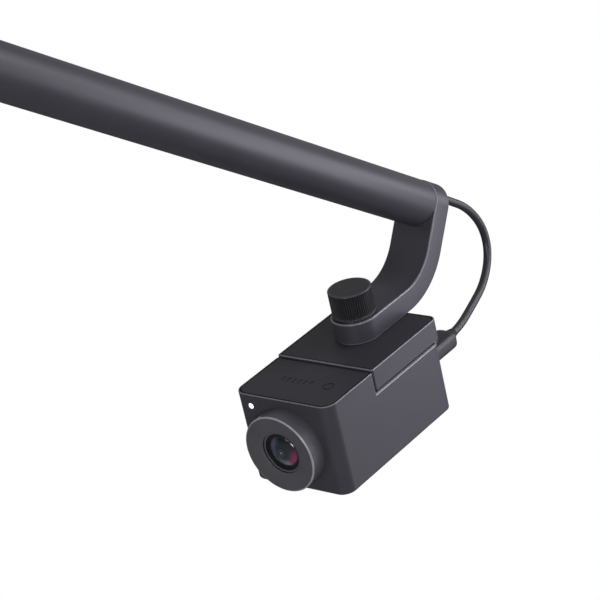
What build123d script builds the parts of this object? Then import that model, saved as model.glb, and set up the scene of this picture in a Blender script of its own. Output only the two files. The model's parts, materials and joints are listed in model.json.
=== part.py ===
from build123d import *
from math import cos, pi, radians, sin, tan
import os

# Document camera on a wall arm.  Millimetres.
# Frame: the wall plate's back face is the plane Y = 0 and its centre is the origin.
# The arm runs out along -Y and +Z is up.
# The camera head is modelled in a frame of its own (X to its left, Y to its rear, Z out of
# its mounting face, origin where the knob's axis meets that face) and HEAD places it.

# ---------------------------------------------------------------- driving dimensions
# arm
REACH = 600.0            # wall to the strap's inner face, along the tube's axis
TUBE_R = 10.0
TUBE_WALL = 1.7
# strap, a bent bar
STRAP_T = 9.5
STRAP_HALF_W = 10.2
STRAP_FOOT = 23.2        # knob axis to the start of the bend
BEND_R = 24.1            # inside radius
BEND_DEG = 54.5
STRAP_UP = 18.3          # end of the bend to the tube's axis
STRAP_EDGE = 0.65        # rounding of the bar's edges
PAD_T = 0.25             # friction pad under the strap's foot
CABLE_HOLE_UP = 5.2      # cable hole above the tube's axis
STRAP_SCREW_Z = -1.4     # strap screw below the tube's axis
INSERT_LEN = 22.0        # solid insert in the tube's end
# camera head
HEAD_W = 49.0
FRONT_Y = -54.8
REAR_Y = 20.1
BOTTOM_Z = -41.5
RIM_Z = -0.9             # top of the housing round the front cover
FRONT_CORNER_R = 5.5
REAR_CORNER_R = 3.8
WALL = 2.2
COVER_T = 1.8
COVER_RIM = 0.85         # wall left showing round the front cover and the plate's skin
SEAM = 0.3               # open joint round both of them
SKIN_T = 0.8             # soft skin let into the plate's top
PANEL_W, PANEL_H, PANEL_T, PANEL_Z = 43.0, 25.0, 1.4, -26.4
PANEL_SCREW_X, PANEL_SCREW_DZ = 19.4, 10.1
# mounting plate
PLATE_FRONT_Y = -24.7
PLATE_REAR_Y = 22.1
PLATE_T = 9.4
GROOVE = 0.6             # gap between the plate and the housing
INSERT_R = 5.0           # brass insert that the knob's stud screws into
PLATE_PAD_POCKET = 1.6   # depth of the pocket for the rubber pad
# lens
LENS_Z = -21.7
RING_R = 17.0
RING_OUT = 7.5
LENS_OPEN_R = 9.2
RING_DISH = 1.2          # the ring's face falls this much towards the opening
LEDGE_R = 8.3            # first step inside the opening
RING_THREAD_R = 11.9     # the ring's neck through the housing's front
BARREL_R = 7.5
BARREL_BACK_Y = -38.0
GLASS_R = 6.75
# status light
LED_X, LED_Z, LED_R = -16.4, -6.2, 1.15
# tilt hinge at the plate's rear edge
HINGE_Y, HINGE_Z = 18.9, -9.7
HINGE_R = 3.1
PIN_R = 1.5
RUN_GAP = 0.06           # radial clearance of a part that turns on a pin
# clamp knob
KNOB_R = 9.2
KNOB_H = 12.0
KNOB_RIBS = 60
RIB_GROOVE_R = 0.28
STUD_R = 3.1
STUD_IN = 6.0            # thread engagement in the plate's insert
STUD_UP = 8.0            # stud's length inside the knob
# cable and plug
CABLE_D = 3.6
PORT_X, PORT_Z = 8.5, -24.2
PLUG_W, PLUG_H, PLUG_CORNER = 11.0, 7.8, 2.6
PLUG_Y0, PLUG_Y1 = 20.7, 45.2
RELIEF_Y1 = 49.6
# wall end
WALL_W, WALL_H, WALL_T = 100.0, 130.0, 4.0
WALL_HOLE_X, WALL_HOLE_Z, WALL_HOLE_R = 38.0, 52.0, 2.75
SOCKET_R, SOCKET_LEN = 15.5, 60.0
FLANGE_R, FLANGE_T = 30.0, 5.0
FLANGE_BOLT_AT, FLANGE_BOLT_R = 23.0, 2.5
BOX_W, BOX_H, BOX_D, BOX_WALL, BOX_CORNER = 106.0, 136.0, 36.0, 2.5, 10.0
POST_X, POST_R, POST_FOOT_R = 38.0, 4.0, 2.0
INLET_Y, INLET_W, INLET_T = -20.0, 13.2, 8.2

PARTS = {}


def keep(name, shape, place=None):
    """Files one sub-part under its name, moved to its place."""
    PARTS[name] = shape.moved(place) if place else shape


# ---------------------------------------------------------------- shape helpers
def block(x0, x1, y0, y1, z0, z1):
    box = Box(x1 - x0, y1 - y0, z1 - z0)
    return box.moved(Location(((x0 + x1) / 2, (y0 + y1) / 2, (z0 + z1) / 2)))


def rod(start, end, radius):
    """Round bar between two points."""
    start, end = Vector(*start), Vector(*end)
    plane = Plane(origin=start, z_dir=end - start)
    return extrude(plane * Circle(radius), (end - start).length)


def tube(start, end, outer, inner):
    return rod(start, end, outer) - rod(start, end, inner)


def plan(x_half, y0, y1, r_front, r_rear, z0, z1):
    """Upright slab whose front and rear corners have their own radii."""
    outline = Polyline(
        (-x_half, y0), (x_half, y0), (x_half, y1), (-x_half, y1), close=True
    )
    face = make_face(outline)
    corners = face.vertices()
    face = fillet([v for v in corners if v.Y < (y0 + y1) / 2], r_front)
    rear = [v for v in face.vertices() if abs(v.Y - y1) < 1e-6]
    face = fillet(rear, r_rear)
    return extrude(Pos(0, 0, z0) * face, z1 - z0)


def rounded_bar(width, height, corner, y0, y1, x, z):
    """Bar along Y with a rounded-rectangle section."""
    plane = Plane(origin=(x, y0, z), x_dir=(1, 0, 0), z_dir=(0, 1, 0))
    return extrude(plane * RectangleRounded(width, height, corner), y1 - y0)


def turned(points, centre_z):
    """Solid of revolution about the lens axis: points are (radius, y)."""
    profile = make_face(Polyline(*[(r, y, 0) for r, y in points], close=True))
    return revolve(profile, Axis.Y).moved(Location((0, 0, centre_z)))


def screw(head, direction, head_r, head_t, shank_r, length, drive_r):
    """Cylinder-head screw with a hexagon socket: head is the middle of the head's top."""
    plane = Plane(origin=head, z_dir=direction)
    body = extrude(plane * Circle(head_r), head_t)
    body += extrude(plane.offset(head_t) * Circle(shank_r), length)
    socket = extrude(plane * RegularPolygon(drive_r, 6), head_t * 0.6)
    return body - socket


# ---------------------------------------------------------------- frames
bend = radians(BEND_DEG)
strap_z0 = PAD_T
strap_z1 = strap_z0 + STRAP_T
# where the tube's axis meets the strap's inner face, in the head's frame
inner_y = STRAP_FOOT + BEND_R * sin(bend) + STRAP_UP * cos(bend)
inner_z = strap_z1 + BEND_R * (1 - cos(bend)) + STRAP_UP * sin(bend)
to_wall = Vector(0, -sin(bend), cos(bend))     # along the tube, in the head's frame
up_strap = Vector(0, cos(bend), sin(bend))

head_origin = Vector(
    0,
    -REACH - Vector(0, inner_y, inner_z).dot(to_wall),
    -Vector(0, inner_y, inner_z).dot(up_strap),
)
HEAD = Plane(
    origin=head_origin, x_dir=(-1, 0, 0), z_dir=(0, cos(bend), sin(bend))
).location


def head_to_row(point):
    """A point of the head's frame, in the part's frame."""
    return (HEAD * Location(point)).position


# ================================================================ wall end
def wall_end():
    plate = extrude(
        Plane(origin=(0, 0, 0), x_dir=(1, 0, 0), z_dir=(0, -1, 0))
        * RectangleRounded(WALL_W, WALL_H, 8),
        WALL_T,
    )
    for sx in (-1, 1):
        for sz in (-1, 1):
            x, z = sx * WALL_HOLE_X, sz * WALL_HOLE_Z
            plate -= rod((x, 1, z), (x, -WALL_T - 1, z), WALL_HOLE_R)
    bolt_at = [
        (FLANGE_BOLT_AT * cos(radians(a)), FLANGE_BOLT_AT * sin(radians(a)))
        for a in (45, 135, 225, 315)
    ]
    for x, z in bolt_at:
        plate -= rod((x, 1, z), (x, -WALL_T - 1, z), FLANGE_BOLT_R)
    post_at = [(-POST_X, 0), (POST_X, 0)]
    for x, z in post_at:
        plate -= rod((x, 1, z), (x, -WALL_T - 1, z), POST_FOOT_R)
    keep("wall_plate", plate)

    # socket: a flange with a boss that the tube slides into
    flange_y = -WALL_T - FLANGE_T
    boss_y = flange_y - SOCKET_LEN + FLANGE_T
    socket = rod((0, -WALL_T, 0), (0, flange_y, 0), FLANGE_R)
    socket += rod((0, flange_y, 0), (0, boss_y, 0), SOCKET_R)
    outer_rim = socket.edges().filter_by(GeomType.CIRCLE).sort_by(Axis.Y)[0]
    socket = chamfer(outer_rim, 1.0)
    socket -= rod((0, -WALL_T + 1, 0), (0, boss_y - 1, 0), TUBE_R)
    for x, z in bolt_at:
        socket -= rod((x, 1, z), (x, flange_y - 1, z), FLANGE_BOLT_R + 0.2)
    socket -= block(-3.5, 3.5, -17.5, -WALL_T + 1, -FLANGE_R - 1, 0)   # cable way
    screw_y = (boss_y + 10, boss_y + 30)
    for y in screw_y:
        socket -= rod((0, y, -SOCKET_R - 1), (0, y, -TUBE_R + 1), 2.5)
    keep("arm_socket", socket)

    bolts = []
    for x, z in bolt_at:
        head = (x, flange_y - 5, z)
        bolts.append(screw(head, (0, 1, 0), 4.2, 5.0, FLANGE_BOLT_R, 8.5, 2.3))
    keep("socket_bolts", Compound(children=bolts))
    grubs = []
    for y in screw_y:
        grub = rod((0, y, -SOCKET_R + 0.4), (0, y, -TUBE_R), 2.5)
        key = Plane(origin=(0, y, -SOCKET_R + 0.4), z_dir=(0, 0, 1))
        grubs.append(grub - extrude(key * RegularPolygon(1.4, 6), 2.5))
    keep("socket_grub_screws", Compound(children=grubs))

    # cover over the plate and flange, open at the back
    front_y = -BOX_D
    face = Plane(origin=(0, -0.5, 0), x_dir=(1, 0, 0), z_dir=(0, -1, 0))
    cover = extrude(face * RectangleRounded(BOX_W, BOX_H, BOX_CORNER), BOX_D - 0.5)
    cover = fillet(cover.faces().sort_by(Axis.Y)[0].edges(), 4.0)
    inside = face * RectangleRounded(
        BOX_W - 2 * BOX_WALL, BOX_H - 2 * BOX_WALL, BOX_CORNER - BOX_WALL
    )
    cover -= extrude(inside, BOX_D - 0.5 - BOX_WALL)
    cover -= rod((0, front_y - 1, 0), (0, 0, 0), SOCKET_R + 0.4)
    for x, z in post_at:
        cover -= rod((x, front_y - 1, z), (x, 0, z), 1.7)
        cover -= rod((x, front_y - 1, z), (x, front_y + 1.6, z), 3.2)
    mouth_x, mouth_y = INLET_W / 2 + 0.1, INLET_T / 2 + 0.1
    cover -= block(
        -mouth_x, mouth_x, INLET_Y - mouth_y, INLET_Y + mouth_y, -BOX_H / 2 - 1, -BOX_H / 2 + 4
    )
    keep("wall_cover", cover)

    posts, cover_screws = [], []
    for x, z in post_at:
        post = rod((x, 0, z), (x, -WALL_T, z), POST_FOOT_R)
        post += rod((x, -WALL_T, z), (x, front_y + BOX_WALL, z), POST_R)
        posts.append(post - rod((x, front_y + BOX_WALL, z), (x, front_y + 14, z), 1.5))
        cover_screws.append(
            screw((x, front_y - 0.2, z), (0, 1, 0), 3.0, 1.8, 1.5, 10.0, 1.3)
        )
    keep("cover_posts", Compound(children=posts))
    keep("cover_screws", Compound(children=cover_screws))

    # data inlet in the cover's underside, where the room's cable plugs in
    low, high = -BOX_H / 2 + 0.6, -BOX_H / 2 + 18
    inlet = Plane(origin=(0, INLET_Y, low), z_dir=(0, 0, 1))
    body = extrude(inlet * RectangleRounded(INLET_W, INLET_T, 1.5), high - low)
    mouth = extrude(inlet * RectangleRounded(9.0, 3.2, 1.5), 7.0)
    tongue = extrude(inlet.offset(1.0) * Rectangle(6.6, 0.7), 6.0)
    keep("inlet_socket", body - mouth + tongue)


# ================================================================ arm and strap
def arm():
    tube_end_y = -REACH
    wall_end_y = -18.0
    keep("arm_tube", tube((0, wall_end_y, 0), (0, tube_end_y, 0), TUBE_R, TUBE_R - TUBE_WALL))

    # insert in the tube's end, which the strap's screw pulls up against
    insert_r = TUBE_R - TUBE_WALL
    insert = rod((0, tube_end_y, 0), (0, tube_end_y + INSERT_LEN, 0), insert_r)
    insert -= rod(
        (0, tube_end_y - 1, STRAP_SCREW_Z), (0, tube_end_y + 16, STRAP_SCREW_Z), 2.0
    )
    slot_z = CABLE_HOLE_UP - CABLE_D / 2 - 0.2
    insert -= block(-2.2, 2.2, tube_end_y - 1, tube_end_y + INSERT_LEN + 1, slot_z, insert_r + 1)
    keep("tube_insert", insert)

    keep("strap", strap(), HEAD)

    # screw through the strap into the insert, head sunk in the strap's outer face
    out_y = tube_end_y - STRAP_T
    head = (0, out_y + 0.3, STRAP_SCREW_Z)
    keep("strap_screw", screw(head, (0, 1, 0), 3.3, 2.4, 2.0, 19.0, 1.5))

    # grommet in the strap's cable hole
    up = CABLE_HOLE_UP
    grommet = rod((0, out_y - 1.0, up), (0, out_y, up), CABLE_D / 2 + 1.2)
    grommet += rod((0, out_y, up), (0, tube_end_y, up), CABLE_D / 2 + 0.5)
    grommet -= rod((0, out_y - 2, up), (0, tube_end_y + 1, up), CABLE_D / 2)
    keep("cable_grommet", grommet)

    pad = Cylinder(STRAP_HALF_W - 0.6, PAD_T, align=(Align.CENTER, Align.CENTER, Align.MIN))
    pad -= rod((0, 0, -1), (0, 0, 1), STUD_R + 0.3)
    keep("friction_pad", pad, HEAD)


def strap():
    """Flat bar: foot under the knob, one bend, round end on the tube's axis."""
    def along(angle, radius):
        centre = Vector(0, STRAP_FOOT, strap_z1 + BEND_R)
        return centre + Vector(0, radius * sin(angle), -radius * cos(angle))

    over = STRAP_HALF_W
    inner_end = Vector(0, inner_y, inner_z) + up_strap * over
    outer_end = inner_end - to_wall * STRAP_T
    outer_r = BEND_R + STRAP_T
    side = Line((0, -over, strap_z0), (0, STRAP_FOOT, strap_z0))
    side += ThreePointArc(
        (0, STRAP_FOOT, strap_z0), along(bend / 2, outer_r), along(bend, outer_r)
    )
    side += Line(along(bend, outer_r), outer_end)
    side += Line(outer_end, inner_end)
    side += Line(inner_end, along(bend, BEND_R))
    side += ThreePointArc(
        along(bend, BEND_R), along(bend / 2, BEND_R), (0, STRAP_FOOT, strap_z1)
    )
    side += Line((0, STRAP_FOOT, strap_z1), (0, -over, strap_z1))
    side += Line((0, -over, strap_z1), (0, -over, strap_z0))
    bar = extrude(make_face(side), STRAP_HALF_W, both=True)

    # round both ends in plan
    foot_zone = block(-20, 20, -20, 0, -5, 20)
    foot_round = rod((0, 0, -5), (0, 0, 20), STRAP_HALF_W)
    bar -= foot_zone - foot_round
    axis = Plane(
        origin=Vector(0, inner_y, inner_z) + to_wall * 20,
        x_dir=(1, 0, 0),
        z_dir=-to_wall,
    )
    end_zone = extrude(axis * Pos(0, -20) * Rectangle(60, 40), 60)
    end_round = extrude(axis * Circle(STRAP_HALF_W), 60)
    bar -= end_zone - end_round
    bar = fillet(long_edges(bar), STRAP_EDGE)

    bar -= rod((0, 0, -5), (0, 0, 20), STUD_R + 0.3)
    middle = Vector(0, inner_y, inner_z)
    hole = middle + up_strap * CABLE_HOLE_UP
    bar -= rod(hole + to_wall * 5, hole - to_wall * 20, CABLE_D / 2 + 0.5)
    low = middle + up_strap * STRAP_SCREW_Z
    bar -= rod(low + to_wall * 5, low - to_wall * 20, 2.1)
    bar -= rod(low - to_wall * (STRAP_T - 2.8), low - to_wall * 20, 3.5)
    return bar


def long_edges(bar):
    """The bar's rim edges on both broad faces, all round."""
    rims = []
    for edge in bar.edges():
        straight = edge.geom_type == GeomType.LINE
        through = abs(edge.length - STRAP_T) < 0.01
        across = abs((edge % 0.5).X) > 0.9
        if not (straight and (through or across)):
            rims.append(edge)
    return rims


# ================================================================ knob
def knob():
    base = strap_z1 + 0.5
    top = base + KNOB_H - 0.5
    body = Cylinder(KNOB_R, top - base, align=(Align.CENTER, Align.CENTER, Align.MIN))
    body = body.moved(Location((0, 0, base)))
    body = fillet(body.edges().filter_by(GeomType.CIRCLE), 0.35)
    cutter = Cylinder(RIB_GROOVE_R, KNOB_H + 4)
    cutter = cutter.moved(Location((KNOB_R + 0.08, 0, base + KNOB_H / 2)))
    cutters = [cutter.moved(Rotation(0, 0, 360 * i / KNOB_RIBS)) for i in range(KNOB_RIBS)]
    body -= Compound(children=cutters)
    body -= rod((0, 0, base - 1), (0, 0, base + STUD_UP), STUD_R)
    keep("knob", body, HEAD)

    stud = rod((0, 0, -STUD_IN), (0, 0, base + STUD_UP), STUD_R)
    stud = chamfer(stud.edges().sort_by(Axis.Z)[0], 0.6)
    keep("knob_stud", stud, HEAD)

    washer = Cylinder(KNOB_R - 0.9, 0.45, align=(Align.CENTER, Align.CENTER, Align.MIN))
    washer = washer.moved(Location((0, 0, strap_z1)))
    washer -= rod((0, 0, 0), (0, 0, 20), STUD_R + RUN_GAP)
    keep("knob_washer", washer, HEAD)


# ================================================================ mounting plate and hinge
LUG_SPANS = ((-19.5, -13.0), (13.0, 19.5))     # housing knuckles
BARREL_SPANS = ((-22.5, -19.8), (-12.7, 12.7), (19.8, 22.5))   # plate knuckles


def hinge_barrel(x0, x1, radius):
    return rod((x0, HINGE_Y, HINGE_Z), (x1, HINGE_Y, HINGE_Z), radius)


def plate_skin(inset, top):
    """The slab of the plate's top that lies inside its rim, up to a height."""
    return plan(
        HEAD_W / 2 - inset,
        PLATE_FRONT_Y + inset,
        PLATE_REAR_Y - inset,
        0.5,
        REAR_CORNER_R - inset,
        -SKIN_T,
        top,
    )


def mount_plate():
    plate = plan(
        HEAD_W / 2, PLATE_FRONT_Y, PLATE_REAR_Y, 0.8, REAR_CORNER_R, -PLATE_T, 0
    )
    plate = fillet(plate.faces().sort_by(Axis.Z)[-1].edges(), 0.35)
    plate = fillet(plate.faces().sort_by(Axis.Z)[0].edges(), 0.25)
    pocket_floor = -PLATE_T + PLATE_PAD_POCKET
    plate -= block(-21.2, 21.2, -21.5, 14.0, -PLATE_T - 1, pocket_floor)
    hollow = block(-20.0, 20.0, -20.2, 12.7, pocket_floor - 0.1, -2.4)
    boss = rod((0, 0, -PLATE_T), (0, 0, 0), 8.0)
    ribs = block(-1.2, 1.2, -21, 13, -PLATE_T, 0) + block(-21, 21, -1.2, 1.2, -PLATE_T, 0)
    plate -= hollow - (boss + ribs)
    plate -= rod((0, 0, -PLATE_T - 1), (0, 0, 1), INSERT_R)
    plate -= plate_skin(COVER_RIM, 1)
    # rear edge carries the hinge barrel
    plate -= block(
        -22.7, 22.7, HINGE_Y - HINGE_R - 0.3, PLATE_REAR_Y + 1, -PLATE_T - 1, HINGE_Z + 1.0
    )
    for x0, x1 in BARREL_SPANS:
        barrel = hinge_barrel(x0, x1, HINGE_R)
        web = block(x0, x1, HINGE_Y - HINGE_R, HINGE_Y + HINGE_R, HINGE_Z, -6.0)
        plate += barrel + web
    for x0, x1 in LUG_SPANS:
        plate -= hinge_barrel(x0 - 0.3, x1 + 0.3, HINGE_R + 0.4)
    pin_ends = BARREL_SPANS[0][0], BARREL_SPANS[-1][1]
    plate -= hinge_barrel(*pin_ends, PIN_R)
    keep("mount_plate", plate, HEAD)
    skin = plate_skin(COVER_RIM + SEAM, 0)
    skin = fillet(skin.faces().sort_by(Axis.Z)[-1].edges(), 0.2)
    keep("plate_skin", skin - rod((0, 0, -5), (0, 0, 5), INSERT_R), HEAD)

    insert = rod((0, 0, pocket_floor), (0, 0, 0), INSERT_R)
    insert -= rod((0, 0, -PLATE_T), (0, 0, 1), STUD_R + RUN_GAP)
    keep("thread_insert", insert, HEAD)

    pad = plan(21.0, -21.3, 13.8, 1.0, 1.0, -PLATE_T + 0.1, pocket_floor)
    keep("plate_pad", pad - rod((0, 0, -20), (0, 0, 0), 4.2), HEAD)

    keep("hinge_pin", hinge_barrel(*pin_ends, PIN_R), HEAD)
    washers = []
    for x0, x1 in LUG_SPANS:
        for x, step in ((x0, -1), (x1, 1)):
            ends = sorted((x, x + step * 0.3))
            washer = hinge_barrel(*ends, HINGE_R - 0.4) - hinge_barrel(x - 1, x + 1, PIN_R)
            washers.append(washer)
    keep("hinge_washers", Compound(children=washers), HEAD)


# ================================================================ housing
def housing():
    half = HEAD_W / 2
    deck_z = -PLATE_T - GROOVE
    step_y = PLATE_FRONT_Y - GROOVE
    body = plan(half, FRONT_Y, REAR_Y, FRONT_CORNER_R, REAR_CORNER_R, BOTTOM_Z, RIM_Z)
    body = fillet(body.faces().sort_by(Axis.Z)[0].edges(), 0.9)
    body -= block(-half - 1, half + 1, step_y, REAR_Y + 1, deck_z, 1)
    # clearance so that the rear top edge can turn under the plate
    rear_top = [
        e for e in body.edges()
        if abs((e @ 0.5).Z - deck_z) < 1e-3 and (e @ 0.5).Y > REAR_Y - 2
    ]
    body = chamfer(rear_top, 0.9)

    # front cover's recess, cavity below it, and the main cavity under the deck
    recess = plan(
        half - COVER_RIM,
        FRONT_Y + COVER_RIM,
        step_y + 5,
        FRONT_CORNER_R - COVER_RIM,
        0.1,
        RIM_Z - COVER_T,
        1,
    )
    cut_back = block(-half, half, step_y - 0.01, step_y + 6, -20, 2)
    recess -= cut_back
    body -= recess
    floor_z = BOTTOM_Z + WALL
    body -= block(-21.0, 21.0, FRONT_Y + WALL, step_y - 2.4, floor_z, RIM_Z - COVER_T + 0.1)
    rear_in = REAR_Y - WALL
    body -= block(-half + WALL, half - WALL, FRONT_Y + WALL, rear_in, floor_z, deck_z - 4.6)
    # rear opening and the panel's recess
    body -= block(-17.6, 17.6, rear_in - 1, REAR_Y + 1, -37.0, -15.6)
    body -= rounded_bar(
        PANEL_W + 0.4, PANEL_H + 0.4, 1.4, REAR_Y - PANEL_T, REAR_Y + 1, 0, PANEL_Z
    )
    for x, z in panel_screw_places():
        body -= rod((x, REAR_Y - 5, z), (x, REAR_Y + 1, z), 1.0)
    # lens and light holes
    body -= rod((0, FRONT_Y - 1, LENS_Z), (0, FRONT_Y + WALL + 1, LENS_Z), 12.0)
    body -= rod((LED_X, FRONT_Y - 1, LED_Z), (LED_X, FRONT_Y + WALL + 1, LED_Z), LED_R)
    # hinge knuckles and the clearance for the plate's barrels
    body -= hinge_barrel(-half + 1.6, half - 1.6, HINGE_R + 0.35)
    for x0, x1 in LUG_SPANS:
        web = block(x0, x1, HINGE_Y - HINGE_R - 0.4, REAR_Y, HINGE_Z - HINGE_R - 0.5, HINGE_Z)
        body += hinge_barrel(x0, x1, HINGE_R) + web
    body -= hinge_barrel(-half + 1.6, half - 1.6, PIN_R + RUN_GAP)
    keep("housing", body, HEAD)

    edge = COVER_RIM + SEAM
    cover = plan(
        half - edge,
        FRONT_Y + edge,
        step_y + 5,
        FRONT_CORNER_R - edge,
        0.1,
        RIM_Z - COVER_T,
        RIM_Z,
    )
    cover -= cut_back
    cover = fillet(cover.faces().sort_by(Axis.Z)[-1].edges(), 0.2)
    # plain relief pattern: a ring and a row of short bars
    mark_y, mark_depth = -39.5, 0.25
    mark = tube((13, mark_y, RIM_Z - mark_depth), (13, mark_y, 0), 2.6, 1.7)
    for i in range(6):
        x = -10.5 + 2.8 * i
        mark += block(x, x + 1.1, mark_y - 1.6, mark_y + 1.6, RIM_Z - mark_depth, 0)
    keep("front_cover", cover - mark, HEAD)

    panel = rounded_bar(PANEL_W, PANEL_H, 1.2, REAR_Y - PANEL_T, REAR_Y, 0, PANEL_Z)
    panel -= rounded_bar(9.4, 3.7, 1.8, REAR_Y - 2, REAR_Y + 1, PORT_X, PORT_Z)
    for x, z in panel_screw_places():
        panel -= rod((x, REAR_Y - 2, z), (x, REAR_Y + 1, z), 1.1)
        panel -= rod((x, REAR_Y - 0.9, z), (x, REAR_Y + 1, z), 1.9)
    keep("rear_panel", panel, HEAD)
    screws = [
        screw((x, REAR_Y - 0.1, z), (0, -1, 0), 1.75, 0.8, 0.95, 3.6, 0.8)
        for x, z in panel_screw_places()
    ]
    keep("rear_panel_screws", Compound(children=screws), HEAD)

    pipe = rod((LED_X, FRONT_Y, LED_Z), (LED_X, FRONT_Y + 8, LED_Z), LED_R - 0.05)
    keep("light_pipe", pipe, HEAD)
    led = block(LED_X - 0.8, LED_X + 0.8, FRONT_Y + 8.2, FRONT_Y + 8.8, LED_Z - 0.8, LED_Z + 0.8)
    keep("status_led", led, HEAD)


def panel_screw_places():
    return [
        (sx * PANEL_SCREW_X, PANEL_Z + sz * PANEL_SCREW_DZ) for sx in (-1, 1) for sz in (-1, 1)
    ]


# ================================================================ lens
def lens():
    face_y = FRONT_Y - RING_OUT
    throat_y = face_y + RING_DISH
    ring = turned(
        [
            (RING_R, FRONT_Y), (RING_R, face_y + 0.5), (RING_R - 0.5, face_y),
            (LENS_OPEN_R + 0.25, throat_y - 0.05), (LENS_OPEN_R, throat_y + 0.2),
            (LENS_OPEN_R, throat_y + 0.8), (LEDGE_R, throat_y + 0.8), (LEDGE_R, throat_y + 1.7),
            (BARREL_R + 0.05, throat_y + 1.7), (BARREL_R + 0.05, FRONT_Y + WALL),
            (RING_THREAD_R, FRONT_Y + WALL), (RING_THREAD_R, FRONT_Y),
        ],
        LENS_Z,
    )
    keep("lens_ring", ring, HEAD)
    nut_y = FRONT_Y + WALL
    nut_r, nut_t = RING_THREAD_R + 2.1, 2.0
    nut = tube((0, nut_y, LENS_Z), (0, nut_y + nut_t, LENS_Z), nut_r, RING_THREAD_R)
    keep("ring_nut", nut, HEAD)

    rim_y = throat_y + 1.9               # front of the barrel's retaining ring
    seat_y = rim_y + 1.5
    back_y = BARREL_BACK_Y
    retainer = tube((0, rim_y, LENS_Z), (0, seat_y, LENS_Z), BARREL_R, GLASS_R + 0.05)
    keep("lens_retainer", retainer, HEAD)
    barrel = turned(
        [
            (5.9, seat_y), (BARREL_R, seat_y), (BARREL_R, back_y), (4.2, back_y),
            (4.2, back_y - 1.5), (5.0, back_y - 1.5), (5.0, seat_y + 5.5), (5.9, seat_y + 5.5),
        ],
        LENS_Z,
    )
    keep("lens_barrel", barrel, HEAD)

    keep("front_lens", dome(GLASS_R, seat_y, rim_y + 0.1, 1.9), HEAD)
    second = dome(5.85, seat_y + 4.2, seat_y + 3.0, 1.2)
    third = dome(4.95, seat_y + 9.5, seat_y + 8.3, 0.9)
    keep("inner_lenses", Compound(children=[second, third]), HEAD)

    holder = block(-9, 9, back_y, back_y + 5, LENS_Z - 9, LENS_Z + 9)
    holder -= block(-5.5, 5.5, back_y + 1.2, back_y + 6, LENS_Z - 5.5, LENS_Z + 5.5)
    holder -= rod((0, back_y - 1, LENS_Z), (0, back_y + 2, LENS_Z), 4.2)
    keep("lens_holder", holder, HEAD)
    ir_y = back_y + 1.3
    keep("ir_filter", block(-5, 5, ir_y, ir_y + 0.5, LENS_Z - 5, LENS_Z + 5), HEAD)
    board_y = back_y + 5
    board = block(-13, 13, board_y, board_y + 1.2, LENS_Z - 12, LENS_Z + 12)
    keep("sensor_board", board, HEAD)
    keep("image_sensor", block(-4.5, 4.5, board_y - 1.2, board_y, LENS_Z - 3.8, LENS_Z + 3.8), HEAD)


def dome(radius, back, rim, rise):
    """Plano-convex element: flat back, straight rim, crown towards the front."""
    sphere_r = (radius**2 + rise**2) / (2 * rise)
    apex = rim - rise
    centre = apex + sphere_r
    half = 0.5 * radius
    mid = (half, centre - (sphere_r**2 - half**2) ** 0.5)
    outline = Line((0, back, 0), (radius, back, 0))
    outline += Line((radius, back, 0), (radius, rim, 0))
    outline += ThreePointArc((radius, rim, 0), (mid[0], mid[1], 0), (0, apex, 0))
    outline += Line((0, apex, 0), (0, back, 0))
    return revolve(make_face(outline), Axis.Y).moved(Location((0, 0, LENS_Z)))


# ================================================================ electronics
def electronics():
    floor_z = BOTTOM_Z + WALL
    board_z = PORT_Z - 1.9
    board_t = 1.2
    y0, y1 = -26.0, 17.0
    posts_at = [(x, y) for x in (-18.5, 18.5) for y in (-22.5, 13.0)]
    board = block(-21.0, 21.0, y0, y1, board_z - board_t, board_z)
    standoffs, screws = [], []
    for x, y in posts_at:
        board -= rod((x, y, board_z - 2), (x, y, board_z + 1), 1.1)
        post = rod((x, y, floor_z), (x, y, board_z - board_t), 2.4)
        standoffs.append(post - rod((x, y, board_z - 7), (x, y, board_z), 0.9))
        screws.append(screw((x, y, board_z + 0.9), (0, 0, -1), 1.8, 0.9, 0.9, 5.0, 0.8))
    keep("main_board", board, HEAD)
    keep("board_standoffs", Compound(children=standoffs), HEAD)
    keep("board_screws", Compound(children=screws), HEAD)

    chips = [
        block(-9, 5, -18, -4, board_z, board_z + 1.4),
        block(-17, -11, -2, 8, board_z, board_z + 1.0),
        block(8, 16, -14, -8, board_z, board_z + 1.0),
    ]
    keep("board_chips", Compound(children=chips), HEAD)
    spreader = block(-12, 8, -19, -3, board_z + 1.4, board_z + 3.4)
    for i in range(6):
        y = -18.6 + 2.8 * i
        spreader += block(-12, 8, y, y + 1.2, board_z + 3.4, board_z + 9.0)
    keep("heat_sink", spreader, HEAD)

    # receptacle for the cable, on the board, its mouth at the rear panel
    shell = rounded_bar(9.0, 3.3, 1.6, REAR_Y - 8.2, REAR_Y - 0.6, PORT_X, PORT_Z)
    shell -= rounded_bar(8.4, 2.7, 1.3, REAR_Y - 7.4, REAR_Y, PORT_X, PORT_Z)
    tongue = block(
        PORT_X - 3.2, PORT_X + 3.2, REAR_Y - 7.6, REAR_Y - 2.0, PORT_Z - 0.3, PORT_Z + 0.3
    )
    feet = block(PORT_X - 4.0, PORT_X + 4.0, REAR_Y - 8.2, REAR_Y - 5.0, board_z, PORT_Z - 1.4)
    keep("port_socket", shell + tongue + feet, HEAD)


# ================================================================ cable
def corner_radii(route):
    """An arc at each inner point, as large as its two runs allow."""
    radii = []
    for a, b, c in zip(route, route[1:], route[2:]):
        before, after = Vector(*b) - Vector(*a), Vector(*c) - Vector(*b)
        turn = radians(before.get_angle(after))
        radii.append(0.45 * min(before.length, after.length) / tan(turn / 2))
    return radii


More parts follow.
